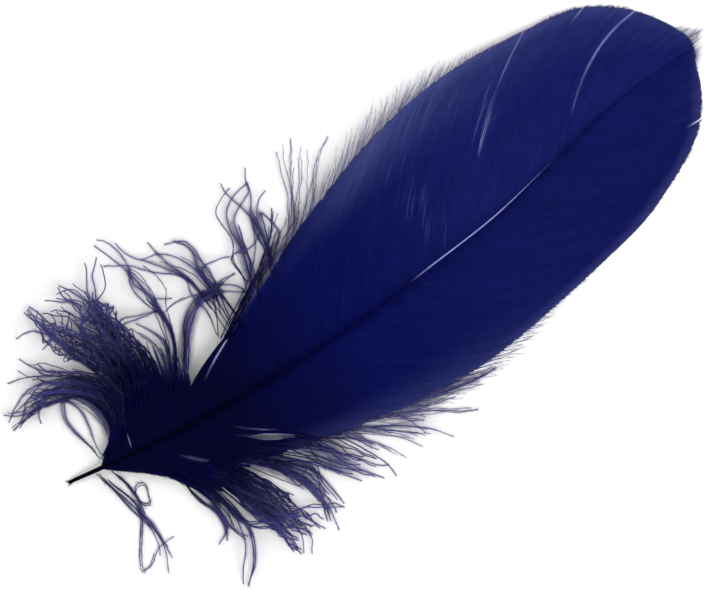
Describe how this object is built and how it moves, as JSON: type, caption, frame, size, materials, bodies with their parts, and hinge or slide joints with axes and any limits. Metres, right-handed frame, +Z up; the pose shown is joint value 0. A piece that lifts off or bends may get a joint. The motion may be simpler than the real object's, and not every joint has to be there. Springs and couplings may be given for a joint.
{
  "type": "feather",
  "caption": "Dyed goose feather lying flat: short bare quill, broad closed vane on a curved shaft, and loose curling down fanning out on both sides of its lower third.",
  "frame": {"origin": "centre of the feather's footprint, on the surface that it lies on", "axes": "+X along the feather from the quill's cut end to the vane's tip, +Y to the feather's left seen from above with the tip ahead, +Z up from the surface"},
  "size_m": [0.1592, 0.077, 0.0074],
  "materials": {
    "vane": "dyed navy feather barbs, satin"
  },
  "bodies": {
    "root": {"feather": "vane"}
  },
  "joints": []
}
